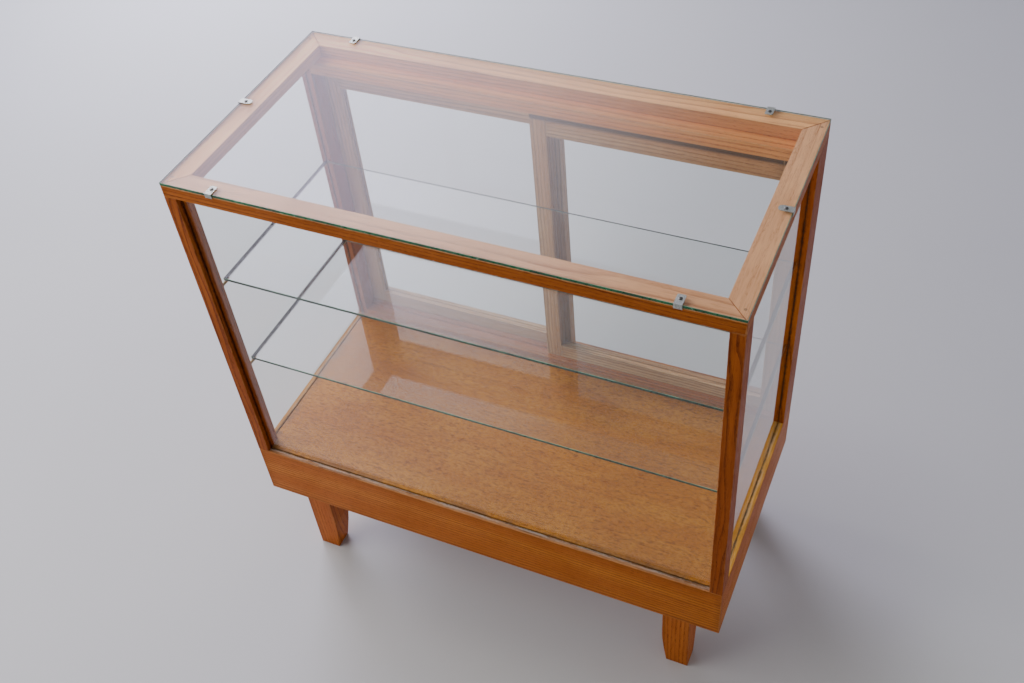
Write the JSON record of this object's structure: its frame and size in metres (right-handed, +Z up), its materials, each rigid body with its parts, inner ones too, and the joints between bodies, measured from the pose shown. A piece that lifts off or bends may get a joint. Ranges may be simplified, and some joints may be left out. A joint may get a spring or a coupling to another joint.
{
  "type": "glass display showcase",
  "caption": "Low counter showcase with an oak frame, glazed top, front and ends, glass shelves on pegs, a boxed base on short tapered legs and sliding glazed rear doors.",
  "frame": {"origin": "on the floor under the middle of the case's bounding box", "axes": "+Z up; the front pane faces -Y and the sliding doors are at +Y; +X is to the right seen from the front"},
  "size_m": [0.903, 0.453, 0.9368],
  "materials": {
    "frame_oak": "oiled, satin",
    "post_oak": "oiled, satin",
    "door_oak": "oiled, satin",
    "deck_plywood": "lacquered, satin",
    "clear_glass": "clear, polished edges",
    "zinc": "dull zinc plate",
    "brass": "aged"
  },
  "bodies": {
    "case": {"front_apron": "frame_oak", "front_top_rail": "frame_oak", "right_apron": "frame_oak", "right_top_rail": "frame_oak", "rear_apron": "frame_oak", "rear_top_rail": "frame_oak", "left_apron": "frame_oak", "left_top_rail": "frame_oak", "front_left_post": "post_oak", "front_left_leg": "frame_oak", "front_left_clip": "zinc", "front_left_clip_screw": "zinc", "front_right_post": "post_oak", "front_right_leg": "frame_oak", "front_right_clip": "zinc", "front_right_clip_screw": "zinc", "rear_left_post": "post_oak", "rear_left_leg": "frame_oak", "rear_left_clip": "zinc", "rear_left_clip_screw": "zinc", "rear_right_post": "post_oak", "rear_right_leg": "frame_oak", "rear_right_clip": "zinc", "rear_right_clip_screw": "zinc", "left_clip": "zinc", "left_clip_screw": "zinc", "right_clip": "zinc", "right_clip_screw": "zinc", "deck": "deck_plywood", "front_pane": "clear_glass", "left_pane": "clear_glass", "right_pane": "clear_glass", "top_glass": "clear_glass", "upper_shelf": "clear_glass", "lower_shelf": "clear_glass", "head_track": "frame_oak", "sill_track": "frame_oak", "lower_peg_front_left": "brass", "lower_peg_front_right": "brass", "lower_peg_rear_left": "brass", "lower_peg_rear_right": "brass", "upper_peg_front_left": "brass", "upper_peg_front_right": "brass", "upper_peg_rear_left": "brass", "upper_peg_rear_right": "brass"},
    "left_door": {"left_door_outer_stile": "door_oak", "left_door_meeting_stile": "door_oak", "left_door_top_rail": "door_oak", "left_door_bottom_rail": "door_oak", "left_door_glass": "clear_glass", "left_door_finger_pull": "brass"},
    "right_door": {"right_door_outer_stile": "door_oak", "right_door_meeting_stile": "door_oak", "right_door_top_rail": "door_oak", "right_door_bottom_rail": "door_oak", "right_door_glass": "clear_glass", "right_door_finger_pull": "brass"}
  },
  "joints": [
    {"name": "left_door_slide", "type": "slide", "parent": "case", "child": "left_door", "axis": [1, 0, 0], "range_m": [0, 0.406]},
    {"name": "right_door_slide", "type": "slide", "parent": "case", "child": "right_door", "axis": [-1, 0, 0], "range_m": [0, 0.406]}
  ]
}
